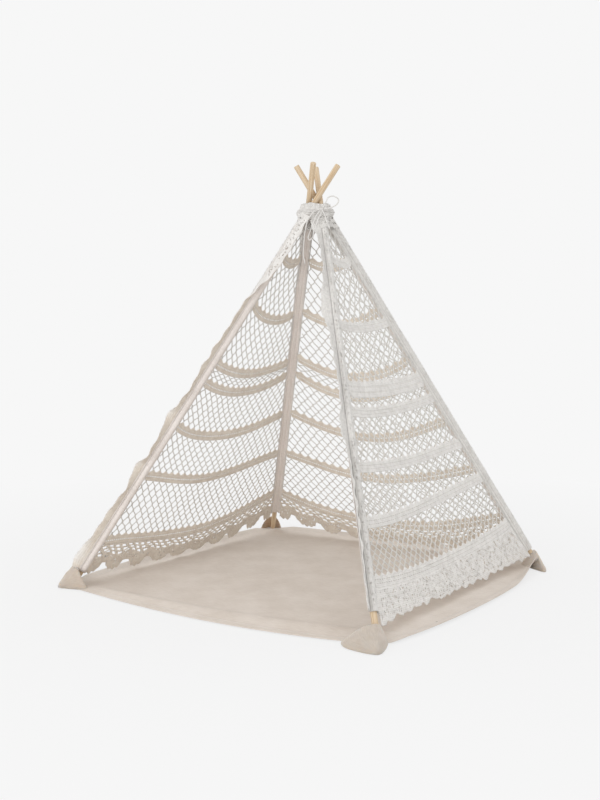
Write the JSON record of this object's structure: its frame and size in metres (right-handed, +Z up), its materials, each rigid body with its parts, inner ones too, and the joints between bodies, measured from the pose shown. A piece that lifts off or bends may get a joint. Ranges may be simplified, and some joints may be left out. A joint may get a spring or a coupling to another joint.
{
  "type": "kids teepee",
  "caption": "Child-size play teepee: crossed wooden poles, open crochet net sides, a gathered lace collar tied with a cord bow, and a canvas floor mat with corner pockets.",
  "frame": {"origin": "middle of the square on which the four poles stand, on the floor under the mat", "axes": "+Z up, the open doorway faces -Y, +X to the right when looking in through the doorway"},
  "size_m": [1.3916, 1.3916, 1.4538],
  "materials": {
    "pine": "smooth, clear coated",
    "steel": "satin",
    "canvas": "plain woven cotton",
    "lace": "cotton crochet",
    "cotton": "twisted cotton cord"
  },
  "bodies": {
    "mat": {"mat_panel": "canvas", "mat_rim_front": "canvas", "mat_rim_right": "canvas", "mat_rim_back": "canvas", "mat_rim_left": "canvas", "corner_pocket_front_left": "canvas", "corner_pocket_front_right": "canvas", "corner_pocket_back_right": "canvas", "corner_pocket_back_left": "canvas"},
    "crossing": {"lace_collar": "lace", "drawcord_turns": "cotton", "bow_knot": "cotton", "bow_loop_left": "cotton", "bow_loop_right": "cotton", "bow_end_long": "cotton", "bow_end_short": "cotton"},
    "pole_front_left": {"pole_upper_front_left": "pine", "pole_lower_front_left": "pine", "ferrule_front_left": "steel", "sleeve_front_left": "canvas", "net_left_by_front_left": "lace", "door_trim_front_left": "lace"},
    "pole_front_right": {"pole_upper_front_right": "pine", "pole_lower_front_right": "pine", "ferrule_front_right": "steel", "sleeve_front_right": "canvas", "net_right_by_front_right": "lace", "door_trim_front_right": "lace"},
    "pole_back_right": {"pole_upper_back_right": "pine", "pole_lower_back_right": "pine", "ferrule_back_right": "steel", "sleeve_back_right": "canvas", "net_back_by_back_right": "lace", "net_right_by_back_right": "lace"},
    "pole_back_left": {"pole_upper_back_left": "pine", "pole_lower_back_left": "pine", "ferrule_back_left": "steel", "sleeve_back_left": "canvas", "net_left_by_back_left": "lace", "net_back_by_back_left": "lace"}
  },
  "joints": [
    {"name": "frame_lift", "type": "slide", "parent": "mat", "child": "crossing", "axis": [0, 0, 1], "range_m": [0, 0.424]},
    {"name": "pole_front_left_fold", "type": "hinge", "parent": "crossing", "child": "pole_front_left", "pos_m": [0.02404, -0.01273, 1.341], "axis": [0.6853, -0.7282, 0], "range_deg": [0, 27], "deforming": ["net_left_by_front_left", "door_trim_front_left"]},
    {"name": "pole_front_right_fold", "type": "hinge", "parent": "crossing", "child": "pole_front_right", "pos_m": [0.01273, 0.01273, 1.341], "axis": [0.7219, 0.692, 0], "range_deg": [0, 27], "deforming": ["net_right_by_front_right", "door_trim_front_right"]},
    {"name": "pole_back_right_fold", "type": "hinge", "parent": "crossing", "child": "pole_back_right", "pos_m": [-0.01273, 0.02404, 1.341], "axis": [-0.6849, 0.7286, 0], "range_deg": [0, 27], "deforming": ["net_back_by_back_right", "net_right_by_back_right"]},
    {"name": "pole_back_left_fold", "type": "hinge", "parent": "crossing", "child": "pole_back_left", "pos_m": [-0.01273, -0.01273, 1.341], "axis": [-0.7219, -0.692, 0], "range_deg": [0, 27], "deforming": ["net_left_by_back_left", "net_back_by_back_left"]}
  ],
  "couplings": [
    {"joint": "pole_front_left_fold", "follows": "frame_lift", "rad_per_m": 1.11},
    {"joint": "pole_front_right_fold", "follows": "frame_lift", "rad_per_m": 1.11},
    {"joint": "pole_back_right_fold", "follows": "frame_lift", "rad_per_m": 1.11},
    {"joint": "pole_back_left_fold", "follows": "frame_lift", "rad_per_m": 1.11}
  ]
}
